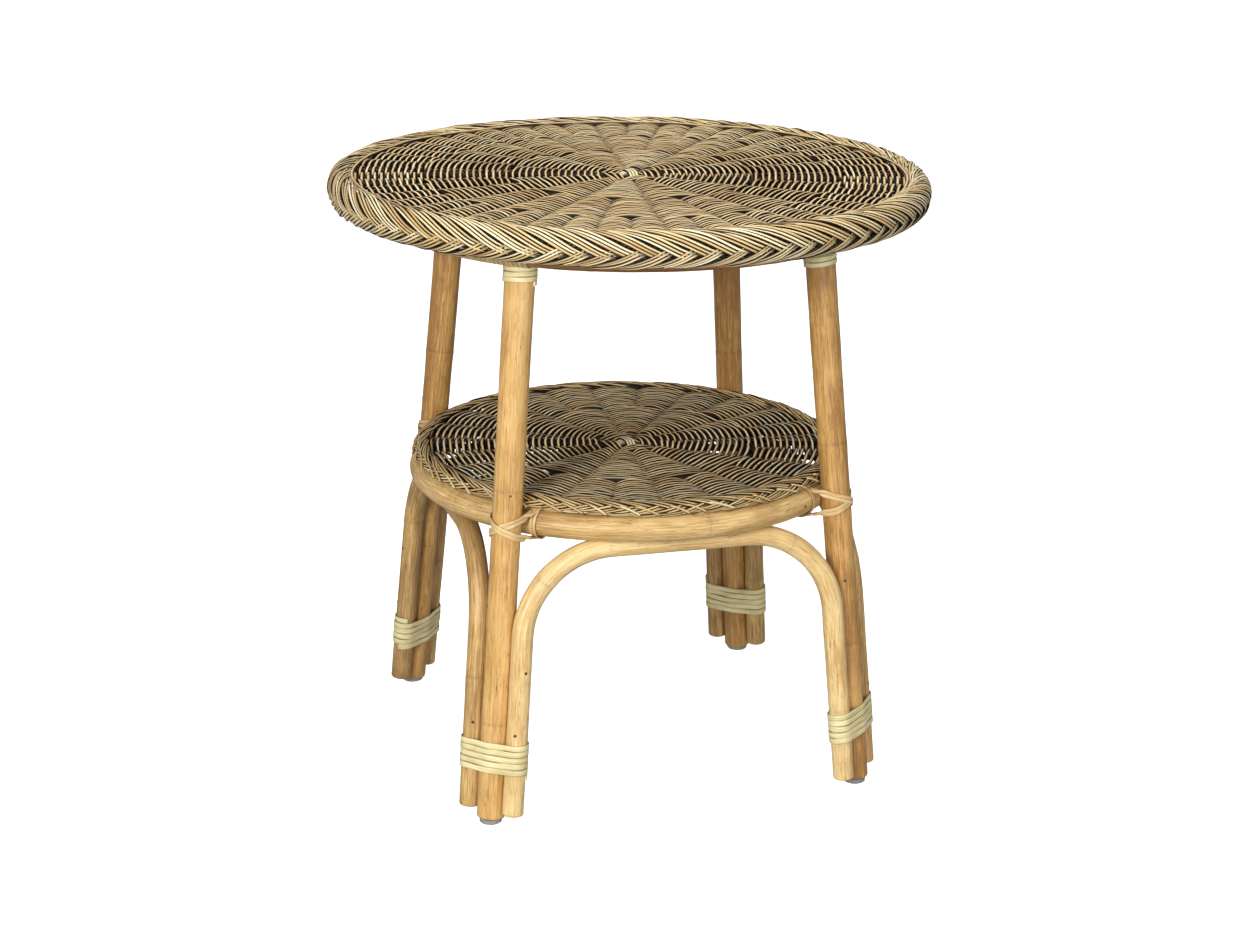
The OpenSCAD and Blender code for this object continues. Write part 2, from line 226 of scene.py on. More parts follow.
class Strands:
    """Swept strands with the attributes that their material reads.

    grain: place in the strand's section, and along it, so that grain follows the strand.
    tone: 0 dark to 1 light, one value a strand. shade: 0 clean to 1 dark, painted shade on
    wicker and cane, and the dark node rings on poles.
    """

    def __init__(self, rng):
        self.rng = rng
        self.count = 0
        self.points = []
        self.corners = []
        self.sizes = []
        self.grain = []
        self.tone = []
        self.shade = []

    def add(self, path, up, wide, high, tone, shade=0.0, sides=ROD_SIDES, squareness=2.0):
        """Sweeps a section of half width `wide` and half height `high`, with `up` as its top."""
        path = np.asarray(path, float)
        count = len(path)
        tangent = unit(np.gradient(path, axis=0))
        side = unit(np.cross(tangent, np.broadcast_to(up, path.shape)))
        normal = np.cross(side, tangent)
        angle = np.arange(sides) * TAU / sides
        across = np.sign(np.cos(angle)) * np.abs(np.cos(angle)) ** (2 / squareness)
        above = np.sign(np.sin(angle)) * np.abs(np.sin(angle)) ** (2 / squareness)
        wide = across * np.broadcast_to(wide, count)[:, None]
        high = above * np.broadcast_to(high, count)[:, None]
        ring = path[:, None] + side[:, None] * wide[..., None] + normal[:, None] * high[..., None]
        along = np.broadcast_to(distance_along(path)[:, None], wide.shape)
        offset = self.rng.uniform(0, 9, 3)
        shade = np.asarray(shade, float)
        shade = shade[:, None] if shade.ndim == 1 else shade
        self.points.append(ring.reshape(-1, 3))
        self.grain.append((np.stack([wide, high, along], -1) + offset).reshape(-1, 3))
        self.tone.append(np.full(count * sides, tone))
        self.shade.append(np.broadcast_to(shade, wide.shape).ravel())
        index = self.count + np.arange(count * sides).reshape(count, sides)
        start, end = index[:-1], index[1:]
        quads = np.stack([start, end, np.roll(end, -1, 1), np.roll(start, -1, 1)], -1)
        self.corners += [quads.ravel(), index[0], index[-1][::-1]]
        self.sizes += [np.full(quads.size // 4, 4), [sides], [sides]]
        self.count += count * sides

    def build(self, name, material, slot, *replaced):
        """Makes the mesh object, and puts it on the table in place of its CAD nodes."""
        corners = np.concatenate(self.corners).astype(np.int32)
        sizes = np.concatenate(self.sizes).astype(np.int32)
        mesh = bpy.data.meshes.new(name)
        mesh.vertices.add(self.count)
        mesh.vertices.foreach_set("co", np.concatenate(self.points).ravel().astype(np.float32))
        mesh.loops.add(len(corners))
        mesh.loops.foreach_set("vertex_index", corners)
        mesh.polygons.add(len(sizes))
        starts = np.concatenate([[0], np.cumsum(sizes)[:-1]]).astype(np.int32)
        mesh.polygons.foreach_set("loop_start", starts)
        mesh.polygons.foreach_set("use_smooth", sizes == 4)
        mesh.update(calc_edges=True)
        grain = mesh.attributes.new("grain", "FLOAT_VECTOR", "POINT")
        grain.data.foreach_set("vector", np.concatenate(self.grain).ravel().astype(np.float32))
        for key, values in (("tone", self.tone), ("shade", self.shade)):
            attribute = mesh.attributes.new(key, "FLOAT", "POINT")
            attribute.data.foreach_set("value", np.concatenate(values).astype(np.float32))
        mesh.materials.append(material)
        piece = bpy.data.objects.new(name, mesh)
        bpy.context.scene.collection.objects.link(piece)
        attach(piece, "root")
        if replaced:
            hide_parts(*replaced)
        return piece


def section_height(sides):
    """Height round a rod's section, from -1 at its underside to 1 at its crest."""
    return np.sin(np.arange(sides) * TAU / sides)


def painted_flank_shade(sides, amount):
    """Painted shade round a rod's section: dark on its flanks, where the rods beside it shade it,
    clean on its crest and underside.
    """
    return amount * smoothstep(-np.abs(section_height(sides)), -0.97, -0.56)[None, :]


def painted_deep_shade(sides, amount):
    """Painted shade round the section of a rod that lies deep in the weave: dark all over but its
    underside.
    """
    return amount * smoothstep(section_height(sides), -0.9, -0.4)[None, :]


# ---- Where the CAD puts things ----


def middle(node):
    """Middle of a CAD node's box."""
    low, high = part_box(node)
    return (low + high) / 2


def ring_of(node):
    """Axis radius, axis height and thickness of a ring's pole."""
    low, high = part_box(node)
    thickness = high.z - low.z
    return high.x - thickness / 2, (low.z + high.z) / 2, thickness


def foot_radius():
    """Distance on the floor from the centre line to a leg's axis."""
    glide = middle("glide_1")
    return math.hypot(glide.x, glide.y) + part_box("glide_1")[1].z * math.tan(LEG_SPLAY)


def leg_azimuth(i):
    glide = middle(f"glide_{i}")
    return math.atan2(glide.y, glide.x)


def leg_radius(z):
    """A leg's own radius at height z: it thickens a little upwards."""
    return (LEG_FOOT_D + (LEG_TOP_D - LEG_FOOT_D) * z / ring_of("top_hoop")[1]) / 2


def leg_frame(i):
    """Leg i's frame: on its axis at the floor, X outwards, Z up the leg."""
    out = Matrix.Translation(Vector((foot_radius(), 0, 0)))
    lean = Matrix.Rotation(-LEG_SPLAY, 4, "Y")
    return np.array(Matrix.Rotation(leg_azimuth(i), 4, "Z") @ out @ lean)


def arch_tilt():
    """How far the plane of two legs and their arch leans from upright."""
    return math.atan(math.tan(LEG_SPLAY) / math.sqrt(2))


def arch_frame(i):
    """Arch i's frame: on the floor below its middle, X along the arch, Y up its plane."""
    azimuth = TAU * (i - 1) / LEGS
    out = Matrix.Translation(Vector((arch_foot()[0], 0, 0)))
    lean = Matrix.Rotation(-arch_tilt(), 4, "Y")
    stand = Matrix(((0, 0, 1, 0), (1, 0, 0, 0), (0, 1, 0, 0), (0, 0, 0, 1)))
    return np.array(Matrix.Rotation(azimuth, 4, "Z") @ out @ lean @ stand)


def arch_offset():
    """Distance between a leg's axis and that of the arch end beside it."""
    return leg_radius(2 * ARCH_BEND_RADIUS) + ARCH_D / 2


def arch_foot():
    """Distance outwards and sideways from the table's centre to an arch end's axis."""
    diagonal = math.sqrt(2)
    radius = foot_radius()
    return (radius + arch_offset()) / diagonal, (radius - arch_offset()) / diagonal


def place(frame, points):
    """Points of a local frame, in the table's frame."""
    return np.asarray(points) @ frame[:3, :3].T + frame[:3, 3]


def turn(frame, vectors):
    """Directions of a local frame, in the table's frame."""
    return np.asarray(vectors) @ frame[:3, :3].T


# ---- Rattan poles ----


def add_pole(strands, path, up, radius, tone):
    """A peeled rattan pole: slightly uneven, ringed at its nodes, with eased ends."""
    rng = strands.rng
    along = distance_along(path)
    length = along[-1]
    thickness = radius * (1 + 0.008 * ripple(rng, along, 0.09))
    shade = np.zeros_like(along)
    node = rng.uniform(0.3, 0.8) * NODE_SPACING
    while node < length:
        gap = along - node
        thickness = thickness + radius * 0.016 * np.exp(-((gap / 0.006) ** 2))
        thickness = thickness - radius * 0.012 * np.exp(-(((gap - 0.004) / 0.0014) ** 2))
        shade = shade + 0.26 * np.exp(-(((gap - 0.004) / 0.0012) ** 2))
        shade = shade + 0.07 * np.exp(-(((gap - 0.006) / 0.006) ** 2))
        node += NODE_SPACING * rng.uniform(0.8, 1.25)
    ease = 0.002
    to_end = np.minimum(along, length - along)
    rounding = np.sqrt(np.clip(1 - (1 - np.clip(to_end / ease, 0, 1)) ** 2, 0, 1))
    thickness = thickness - ease * (1 - rounding)
    sway = ripple(rng, along, 0.35) * 0.00025 * smoothstep(to_end, 0, 0.05)
    path = path + sway[:, None]
    strands.add(path, up, thickness, thickness, tone, shade, POLE_SIDES)


def with_fine_ends(along_end, step):
    """Distances from 0 to the end, close together near both ends for their easing."""
    fine = np.array([0, 0.0001, 0.0004, 0.0009, 0.0015])
    inner = np.arange(0.0024, along_end - 0.0024, step)
    return np.concatenate([fine, inner, along_end - fine[::-1]])


def legs(material):
    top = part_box("leg_1")[1].z - 0.003
    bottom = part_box("glide_1")[1].z
    for i in range(1, LEGS + 1):
        strands = Strands(np.random.default_rng(100 + i))
        length = (top - bottom) / math.cos(LEG_SPLAY)
        along = bottom + with_fine_ends(length, POLE_STEP)
        local = np.stack([0 * along, 0 * along, along], -1)
        frame = leg_frame(i)
        outwards = turn(frame, [1, 0, 0])
        add_pole(strands, place(frame, local), outwards, leg_radius(along), LEG_LIGHTING_TONES[i - 1])
        strands.build(f"leg_pole_{i}", material, "leg_pole", f"leg_{i}")


def arch_line():
    """Centreline of an arch in its own plane, from one cut end to the other."""
    tilt = arch_tilt()
    lean = math.atan(math.sin(tilt))
    top_v = (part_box("arch_1")[1].z - ARCH_D / 2 * math.cos(tilt)) / math.cos(tilt)
    bend_v = top_v - ARCH_BEND_RADIUS
    foot_u = arch_foot()[1]
    bend_u = foot_u - bend_v * math.tan(lean) - ARCH_BEND_RADIUS / math.cos(lean)
    end_v = ARCH_END_HEIGHT / math.cos(tilt)
    end_u = foot_u - end_v * math.tan(lean)
    swing = np.linspace(lean, math.pi / 2, 80)
    bend = np.stack(
        [bend_u + ARCH_BEND_RADIUS * np.cos(swing), bend_v + ARCH_BEND_RADIUS * np.sin(swing)], -1
    )
    right = np.concatenate([[[end_u, end_v]], bend, [[0.0, top_v]]])
    left = right[::-1][1:] * [-1, 1]
    corners = np.concatenate([right, left])
    at = distance_along(corners)
    along = with_fine_ends(at[-1], POLE_STEP)
    return np.stack([np.interp(along, at, corners[:, k]) for k in (0, 1)] + [0 * along], -1)


def arches(material):
    line = arch_line()
    for i in range(1, LEGS + 1):
        strands = Strands(np.random.default_rng(200 + i))
        frame = arch_frame(i)
        add_pole(strands, place(frame, line), turn(frame, [0, 0, 1]), ARCH_D / 2, ARCH_LIGHTING_TONES[i - 1])
        strands.build(f"arch_pole_{i}", material, "arch_pole", f"arch_{i}")


def bent_ring(node, name, seam, seed, material, slot):
    """A pole bent to a circle, its two ends butted at the seam's azimuth."""
    radius, z, thickness = ring_of(node)
    strands = Strands(np.random.default_rng(seed))
    around = with_fine_ends(TAU * radius, POLE_STEP) / radius
    path = polar(radius, seam + around, z)
    add_pole(strands, path, [0, 0, 1], thickness / 2, 0.5)
    strands.build(name, material, slot, node)


# ---- Woven discs ----


def weaver_line(strand, reach, turn_by, zones):
    """One of two interleaved weavers, as a spiral: azimuth, radius and wave phase.

    zones lists (radius from which it holds, stakes round the disc). The wave runs over one
    stake and under the next, and changes its count only in a gap that both counts share.
    """
    shared_gap = turn_by + TAU / 8
    azimuths, phases = [], []
    azimuth = shared_gap - TAU
    phase = -zones[0][1] / 2 * (turn_by - azimuth) + strand * math.pi
    for (start, stakes), after in zip(zones, zones[1:] + [(reach, 0)]):
        turns = max(1, round((after[0] - start) / (2 * ROW_PITCH)))
        samples = {4: 30, 12: 15, 24: 11, 48: 8}[stakes] * stakes * turns
        swept = np.linspace(0, TAU * turns, samples, endpoint=False)
        azimuths.append(azimuth + swept)
        phases.append(phase + stakes / 2 * swept)
        azimuth += TAU * turns
        phase += stakes / 2 * TAU * turns
    azimuths = np.concatenate(azimuths)
    radius = zones[0][0] + ROW_PITCH * (2 * (azimuths - azimuths[0]) / TAU + strand)
    return azimuths, radius, np.concatenate(phases)


def squared(radius, azimuth, corner_reach):
    """Radius of a row that runs square round the slath's arms, and rounds out by corner_reach."""
    straight = 0.92 / np.maximum(np.abs(np.cos(azimuth)), np.abs(np.sin(azimuth)))
    share = 1 - smoothstep(radius, SLATH_RADIUS, corner_reach)
    return radius * (1 + share * 0.8 * (straight - 1))


def opened(radius, azimuth, splits):
    """Rows pushed apart where a stake splits in two, which leaves a small hole there."""
    for split, stakes, turn_by in splits:
        off_stake = (azimuth - turn_by + TAU / stakes / 2) % (TAU / stakes) - TAU / stakes / 2
        beside = off_stake * radius / 0.0075
        beyond = (radius - split - 0.006) / 0.010
        radius = radius + 0.0020 * np.tanh(2.5 * beyond) * np.exp(-(beside**2) - beyond**2)
    return radius


def weave(name, material, slot, node, seed, turn_by, zones, splits, reach, square_reach):
    """A disc of two weavers, cut into rods of their own tone, in one mesh a zone."""
    rng = np.random.default_rng(seed)
    low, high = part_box(node)
    mid_z = (low.z + high.z) / 2
    bounds = [start for start, _ in zones[1:]] + [reach + 1]
    parts = [Strands(rng) for _ in bounds]
    for strand in (0, 1):
        azimuth, radius, phase = weaver_line(strand, reach, turn_by, zones)
        flat = distance_along(polar(radius, azimuth, 0.0))
        wave = np.cos(phase)
        lift = WEAVE_LIFT * wave * (1.12 - 0.12 * wave**2)
        z = mid_z + lift + 0.00034 * ripple(rng, flat, 0.045)
        radius = squared(radius, azimuth - turn_by, square_reach)
        radius = opened(radius, azimuth, splits)
        radius = radius + 0.00022 * ripple(rng, flat, 0.05)
        path = polar(radius, azimuth, z)
        cut = 0
        while cut < len(flat) - 2:
            end = int(np.searchsorted(flat, flat[cut] + rng.uniform(0.8, 2.2)))
            zone = int(np.searchsorted(bounds, radius[cut]))
            zone_end = int(np.searchsorted(radius, bounds[zone]))
            end = min(end, max(zone_end, cut + 3), len(flat) - 1)
            piece = slice(cut, end + 1)
            thick = WEAVER_D / 2 * (rng.uniform(0.93, 1.07) + 0.03 * ripple(rng, flat[piece], 0.03))
            # Painted shade: dark where the rod dives under a stake, and on its flanks.
            diving_shade = smoothstep(-wave[piece], -0.55, 0.50)[:, None] * painted_deep_shade(ROD_SIDES, 0.9)
            shade = np.maximum(painted_flank_shade(ROD_SIDES, 1.0), diving_shade)
            tone = float(np.clip(rng.normal(0.5, 0.09), 0, 1))
            parts[zone].add(path[piece], [0, 0, 1], thick, thick, tone, shade)
            cut = end
    for k, part in enumerate(parts):
        if part.count:
            part.build(f"{name}_{k + 1}", material, slot, *([node] if k == 0 else []))


def sticks(name, material, node, seed, turn_by, spokes, splits, reach, doubled):
    """Stakes under the weavers: spokes of sticks that part in half at each split.

    doubled: how many sticks lie side by side in each of the last stakes.
    """
    rng = np.random.default_rng(seed)
    low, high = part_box(node)
    z = (low.z + high.z) / 2
    strands = Strands(rng)
    radius = np.arange(0.004, reach, 0.004)
    count = doubled * 2 ** len(splits)
    for spoke in range(spokes):
        for k in range(count):
            azimuth = np.full_like(radius, turn_by + spoke * TAU / spokes)
            aside = np.full_like(radius, k - (count - 1) / 2) * STICK_PITCH
            for level, split in enumerate(splits):
                opening = smoothstep(radius, split - 0.004, split + SPLIT_REACH)
                half = count // 2 ** (level + 1)
                sign = 1 if (k // half) % 2 else -1
                azimuth += sign * TAU / spokes / 2 ** (level + 2) * opening
                aside -= sign * half / 2 * STICK_PITCH * opening
            path = polar(radius, azimuth + aside / radius, z + 0.0003 * ripple(rng, radius, 0.08))
            # Painted shade: the sticks lie deep under the weavers, so all but their undersides are
            # dark.
            shade = painted_deep_shade(ROD_SIDES, 1.0)
            strands.add(path, [0, 0, 1], STICK_D / 2, STICK_D / 2, rng.uniform(0.2, 0.8), shade)
    strands.build(name, material, "wicker_stake", node)


def slath(name, material, slot, turn_by, face_z):
    """The small cross of light sticks at the middle, where a woven disc starts."""
    strands = Strands(np.random.default_rng(31))
    reach = 0.0125
    along = np.linspace(-reach, reach, 40)
    for arm in (0, 1):
        for k in (-1, 0, 1):
            hump = 0.0016 * np.cos(along / reach * math.pi / 2) * (1 if arm else -0.6)
            z = face_z - WEAVER_D / 2 + hump - 0.0030 * smoothstep(np.abs(along), 0.005, reach)
            local = np.stack([along, 0 * along + k * WEAVER_D * 1.02, z], -1)
            angle = turn_by + arm * math.pi / 2
            spin = np.array(Matrix.Rotation(angle, 3, "Z"))
            # Painted shade on the flanks of the slath's sticks.
            shade = painted_flank_shade(ROD_SIDES, 0.8)
            strands.add(local @ spin.T, [0, 0, 1], WEAVER_D / 2, WEAVER_D / 2, 0.7, shade)
    strands.build(name, material, slot)


# ---- Braided borders ----


def braid(strands, bundle_numbers, centre, semi, facing, swing, plait, rod_d, depth, uneven):
    """A flat plait of rod bundles, laid round a rounded section all the way round the rim.

    centre: radius and height of the section's middle. semi: its half width and half height.
    facing: where the plait's middle line lies on the section. swing: how far a bundle runs
    from that line, over the surface. plait: (bundles, chevrons round the rim, rods each).
    depth: how far a bundle rises or dives at a crossing. uneven: how loose the plait is.
    """
    bundles, chevrons, rods = plait
    rng = strands.rng
    periods = chevrons / bundles
    samples = int(BRAID_SAMPLES * periods)
    cycle = np.linspace(0, periods, samples + 1)
    for bundle in bundle_numbers:
        phase = TAU * (cycle + bundle / bundles)
        across = swing * np.sin(phase) * (1 + uneven * ripple(rng, cycle, 0.9))
        over = -np.sin(2 * (phase + CROSSING_SKEW * np.cos(phase)))
        over = depth * np.tanh(CROSSING_STEEPNESS * over)
        angle = facing + across / ((semi[0] + semi[1]) / 2)
        azimuth = TAU * cycle / periods
        radius = centre[0] + (semi[0] + over) * np.cos(angle)
        z = centre[1] + (semi[1] + over) * np.sin(angle)
        path = polar(radius, azimuth, z)
        normal = unit(polar(np.cos(angle) / semi[0], azimuth, np.sin(angle) / semi[1]))
        side = unit(np.cross(unit(np.gradient(path, axis=0)), normal))
        hidden = np.flatnonzero(np.diff(np.sign(np.cos(phase - math.pi / 4))) != 0)
        for k in range(rods):
            apart = (k - (rods - 1) / 2) * rod_d * (1 + 0.08 * ripple(rng, cycle, 1.3))
            nest = rng.normal(0, 0.00035) + 0.00040 * ripple(rng, cycle, 0.7)
            line = path + side * apart[:, None] + normal * nest[:, None]
            cuts = [0, *hidden[rng.integers(1, 4) :: rng.integers(3, 6)], samples]
            for start, end in zip(cuts, cuts[1:]):
                piece = slice(start, end + 1)
                thick = rod_d / 2 * rng.uniform(0.92, 1.06)
                # Painted shade: dark where a bundle dives under the next, and on each rod's flanks.
                diving_shade = 0.9 * smoothstep(-over[piece] / depth, -0.2, 1.0)[:, None]
                shade = np.maximum(painted_flank_shade(ROD_SIDES, 1.0), diving_shade)
                tone = float(np.clip(rng.normal(0.58, 0.13), 0, 1))
                strands.add(line[piece], normal[piece], thick, thick, tone, shade)


def braid_core(name, slot, material, centre, semi):
    """The plain core inside a braid, which keeps daylight out of its gaps: painted all over in shade
    colour.
    """
    strands = Strands(np.random.default_rng(47))
    azimuth = np.linspace(0, TAU, 400)
    path = polar(centre[0], azimuth, centre[1])
    strands.add(path, [0, 0, 1], semi[0], semi[1], 0.4, 1.0, 16)
    strands.build(name, material, slot)


def top_braid(material, core_material):
    low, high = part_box("top_border")
    depth = 0.0021
    clear = depth + BRAID_ROD_D / 2 + 0.0004
    section = (BORDER_HALF_WIDTH, (high.z - low.z) / 2)
    centre = (high.x - section[0], (high.z + low.z) / 2)
    semi = (section[0] - clear, section[1] - clear)
    for half in (0, 1):
        strands = Strands(np.random.default_rng(41 + half))
        bundle_numbers = range(half, TOP_PLAIT[0], 2)
        braid(strands, bundle_numbers, centre, semi, TOP_PLAIT_FACING, TOP_PLAIT_SWING, TOP_PLAIT,
              BRAID_ROD_D, depth, 0.05)
        replaced = ["top_border"] if half == 0 else []
        strands.build(f"top_braid_{half + 1}", material, "border_wicker", *replaced)
    core = (semi[0] - 1.3 * clear, semi[1] - 1.3 * clear)
    braid_core("top_braid_core", "border_wicker", core_material, centre, core)


def plain_rows(name, material, slot, seed, z, inner, outer, shade):
    """Plain rods that run round side by side, from one radius to another."""
    rng = np.random.default_rng(seed)
    strands = Strands(rng)
    azimuth = np.linspace(0, TAU, 700)
    for radius in np.arange(inner, outer, WEAVER_D * 0.95):
        start = rng.uniform(0, TAU)
        sway = 0.0004 * ripple(rng, azimuth, 0.6) * np.sin(azimuth / 2)
        rise = 0.0006 * ripple(rng, azimuth, 0.5) * np.sin(azimuth / 2)
        thick = WEAVER_D / 2 * rng.uniform(0.95, 1.05)
        path = polar(radius + sway, start + azimuth, z + rise)
        strands.add(path, [0, 0, 1], thick, thick, rng.uniform(0.4, 0.8), shade)
    strands.build(name, material, slot)


def shelf_braid(material, core_material):
    low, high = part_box("shelf_border")
    rng = np.random.default_rng(51)
    strands = Strands(rng)
    rod_d = 0.0028
    depth = 0.0018
    clear = depth + rod_d / 2
    half_width = 0.0085
    centre = (high.x - half_width + 0.001, (high.z + low.z) / 2)
    semi = (half_width - clear, (high.z - low.z) / 2 - clear + 0.001)
    braid(strands, range(SHELF_PLAIT[0]), centre, semi, SHELF_PLAIT_FACING, SHELF_PLAIT_SWING,
          SHELF_PLAIT, rod_d, depth, 0.12)
    for k in range(SHELF_TIPS):
        azimuth = TAU * (k + rng.uniform(-0.25, 0.25)) / SHELF_TIPS
        reach = rng.uniform(0.016, 0.026)
        t = np.linspace(0, 1, 9)
        radius = centre[0] + 0.0055 + 0.0050 * t
        z = high.z - 0.0030 - 0.0070 * t**1.4
        path = polar(radius, azimuth + reach * t / radius, z)
        normal = unit(polar(np.full_like(t, 1.0), azimuth, 0.8))
        # Painted shade on the flanks of the cut tips.
        shade = painted_flank_shade(ROD_SIDES, 0.7)
        strands.add(path, normal, rod_d / 2, rod_d / 2, rng.uniform(0.45, 0.9), shade)
    strands.build("shelf_plait", material, "shelf_wicker", "shelf_border")
    core = (semi[0] - clear, semi[1] - clear)
    braid_core("shelf_plait_core", "shelf_wicker", core_material, centre, core)


# ---- Flat cane ----


def add_cane(strands, path, normal, width):
    """A flat split-cane strip: rounded on its outside, a little uneven in width."""
    rng = strands.rng
    along = distance_along(path)
    wide = width / 2 * (1 + 0.05 * ripple(rng, along, 0.04))
    sides = 12
    # Painted shade along both edges of the strip, where it meets its neighbours.
    edge = np.abs(np.cos(np.arange(sides) * TAU / sides))
    shade = smoothstep(edge, 0.80, 0.97)[None, :]
    tone = rng.uniform(0.35, 0.75)
    strands.add(path, normal, wide, CANE_THICKNESS / 2, tone, shade, sides, 3.2)


def hull_loop(circles, grow):
    """A taut loop round circles of (x, y, radius), from its +Y side: its points, and outwards."""
    angle = np.linspace(TAU / 4, TAU / 4 + TAU, 160, endpoint=False)
    out = np.stack([np.cos(angle), np.sin(angle)], -1)
    centres = np.array([[x, y] for x, y, _ in circles])
    radii = np.array([r for _, _, r in circles]) + grow
    reach = out @ centres.T + radii
    best = reach.argmax(1)
    return centres[best] + out * radii[best][:, None], out


def wound_loop(loop, out, turns, pitch, start, rng):
    """A strip wound up round a loop: its path and normals, evenly sampled."""
    closed = np.concatenate([loop, loop[:1]])
    at = distance_along(closed)
    swept = np.arange(0, at[-1] * turns, 0.002)
    within = swept % at[-1]
    xy = np.stack([np.interp(within, at, closed[:, k]) for k in (0, 1)], -1)
    facing = np.concatenate([out, out[:1]])
    normal = unit(np.stack([np.interp(within, at, facing[:, k]) for k in (0, 1)], -1))
    z = start + pitch * swept / at[-1] + 0.0003 * ripple(rng, swept, 0.06)
    bulge = 0.00025 * ripple(rng, swept, 0.05) + 0.00025
    path = np.concatenate([xy + normal * bulge[:, None], z[:, None]], 1)
    return path, np.concatenate([normal, 0 * z[:, None]], 1)


def base_bindings(material):
    for i in range(1, LEGS + 1):
        rng = np.random.default_rng(300 + i)
        strands = Strands(rng)
        frame = leg_frame(i)
        leg = (0, 0, leg_radius(BASE_BINDING_Z))
        ends = [(0, side * arch_offset(), ARCH_D / 2) for side in (-1, 1)]
        loop, out = hull_loop([leg, *ends], CANE_THICKNESS / 2)
        path, normal = wound_loop(
            loop, out, BASE_TURNS + 0.06, BASE_BINDING_PITCH, BASE_BINDING_Z, rng
        )
        add_cane(strands, place(frame, path), turn(frame, normal), CANE_WIDTH)
        strands.build(f"base_cane_{i}", material, "cane", f"base_binding_{i}")


def top_bindings(material):
    for i in range(1, LEGS + 1):
        rng = np.random.default_rng(320 + i)
        strands = Strands(rng)
        frame = leg_frame(i)
        loop, out = hull_loop([(0, 0, leg_radius(TOP_BINDING_Z))], CANE_THICKNESS / 2)
        path, normal = wound_loop(
            loop, out, TOP_TURNS + 0.5, TOP_BINDING_PITCH, TOP_BINDING_Z, rng
        )
        add_cane(strands, place(frame, path), turn(frame, normal), TOP_CANE_WIDTH)
        strands.build(f"top_cane_{i}", material, "cane", f"top_binding_{i}")


def lashing_line(lift, mirror):
    """Half of the figure of eight that ties a leg to the shelf ring, in the leg's frame.

    Each row is a point and the outward direction there, from the leg's outside, round the
    ring beside the leg, and back over the first half.
    """
    radius, z, thickness = ring_of("shelf_ring")
    leg_r = leg_radius(z) + CANE_THICKNESS / 2
    ring_x = -(leg_r + thickness / 2)
    ring_r = thickness / 2 + CANE_THICKNESS / 2 + 0.0003
    ring_z = -ring_x * math.tan(LEG_SPLAY)
    front = [
        ([leg_r, 0, 0], [1, 0, 0]),
        ([leg_r * 0.72, leg_r * 0.70, 0.0050], [0.7, 0.7, 0]),
        ([leg_r * 0.10, leg_r * 1.02, 0.0085], [0.3, 1, 0]),
    ]
    strap = []
    first, last = STRAP_ROLLS
    for roll in np.linspace(first, last, 25):
        wound = (roll - first) / (last - first)
        aside = 0.0190 + 0.0012 * wound
        out = [math.cos(roll), 0, math.sin(roll)]
        bend = aside**2 / (2 * radius)
        reach = ring_r + CANE_THICKNESS * wound
        strap.append(([ring_x - bend + reach * out[0], aside, ring_z + reach * out[2]], out))
    back = [
        ([leg_r * 0.10, leg_r * 1.04, -0.0085], [0.3, 1, 0]),
        ([leg_r * 0.72, leg_r * 0.74, -0.0050], [0.7, 0.7, 0]),
        ([leg_r + CANE_THICKNESS, 0, 0], [1, 0, 0]),
    ]
    rows = np.array([[*point, *normal] for point, normal in front + strap + back])
    rows[:, 2] += lift
    rows[:, 1] *= mirror
    rows[:, 4] *= mirror
    return rows


def shelf_lashings(material):
    for i in range(1, LEGS + 1):
        rng = np.random.default_rng(340 + i)
        strands = Strands(rng)
        frame = leg_frame(i)
        height = ring_of("shelf_ring")[1] / math.cos(LEG_SPLAY)
        for winding, apart in enumerate((-1, 1)):
            lift = height + apart * LASHING_CANE_WIDTH * 0.52 + rng.uniform(-0.0006, 0.0006)
            halves = [lashing_line(lift, 1), lashing_line(lift, -1)[1:]]
            rows = spline(np.concatenate(halves), 0.0018)
            spread = rows[:, :3] + unit(rows[:, 3:]) * 0.0004 * winding
            on_ring = smoothstep(-rows[:, 0], 0.004, 0.014)
            spread[:, 1] += np.sign(rows[:, 1]) * apart * 0.0021 * on_ring
            spread[:, 2] -= apart * LASHING_CANE_WIDTH * 0.52 * on_ring
            add_cane(
                strands, place(frame, spread), turn(frame, unit(rows[:, 3:])), LASHING_CANE_WIDTH
            )
        strands.build(f"lashing_cane_{i}", material, "cane", f"shelf_lashing_{i}")


def hoop_wrapping(material):
    """Cane wound round the hoop's joint, one slanted turn beside the other."""
    radius, z, thickness = ring_of("top_hoop")
    rng = np.random.default_rng(361)
    strands = Strands(rng)
    t = np.linspace(0, 1, WRAP_TURNS * 36)
    azimuth = WRAP_START + WRAP_SPAN * t
    roll = TAU * WRAP_TURNS * t
    wound = thickness / 2 + CANE_THICKNESS / 2 + 0.0002
    path = polar(radius + wound * np.cos(roll), azimuth, z + wound * np.sin(roll))
    normal = polar(np.cos(roll), azimuth, np.sin(roll))
    add_cane(strands, path, normal, HOOP_CANE_WIDTH)
    strands.build("hoop_cane", material, "cane", "hoop_wrap")


def nail_marks(material):
    """Small dark nail heads on the poles, alike on every leg, placed in the leg's frame."""
    strands = Strands(np.random.default_rng(71))
    depths = np.array([-0.0015, 0.0001, 0.0003, 0.0004])
    sizes = np.array([0.0015, 0.0015, 0.0012, 0.0006])
    for i in range(1, LEGS + 1):
        frame = leg_frame(i)
        for beside, facing, z in NAIL_SPOTS:
            radius = ARCH_D / 2 if beside else leg_radius(NAIL_LEG_HEIGHT)
            angle = math.radians(facing)
            out = np.array([math.cos(angle), math.sin(angle), 0])
            height = z + strands.rng.uniform(-0.004, 0.004)
            foot = np.array([0, beside * arch_offset(), height])
            path = foot + out * (radius + depths)[:, None]
            strands.add(place(frame, path), turn(frame, [0, 0, 1]), sizes, sizes, 0.3, 0.0, 16)
    strands.build("nail_marks", material, "steel")


# ---- Materials ----


